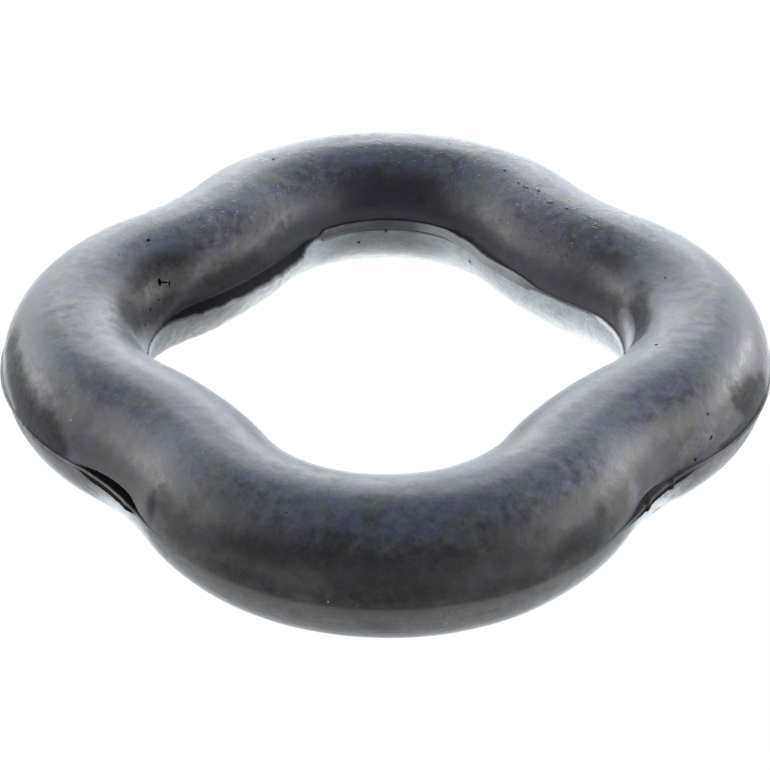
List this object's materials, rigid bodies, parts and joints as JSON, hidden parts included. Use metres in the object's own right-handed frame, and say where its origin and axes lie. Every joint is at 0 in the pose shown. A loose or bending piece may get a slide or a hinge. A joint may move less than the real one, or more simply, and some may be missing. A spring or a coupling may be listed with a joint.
{
  "type": "exhaust hanger",
  "caption": "One-piece moulded rubber ring with rounded lobes and shallow waists, looped over hooks to hang an exhaust pipe.",
  "frame": {"origin": "centre of the ring, in the parting plane at half its height", "axes": "+Z along the ring's axis, the ring's shortest size; +Y towards a lobe, along the ring's longer way; +X towards the lobe beside it"},
  "size_m": [0.0754, 0.08, 0.014],
  "materials": {
    "rubber": "semi-gloss black moulded rubber with a grey-violet bloom, fine specks and small moulding pits"
  },
  "bodies": {
    "root": {"hanger_ring": "rubber"}
  },
  "joints": []
}
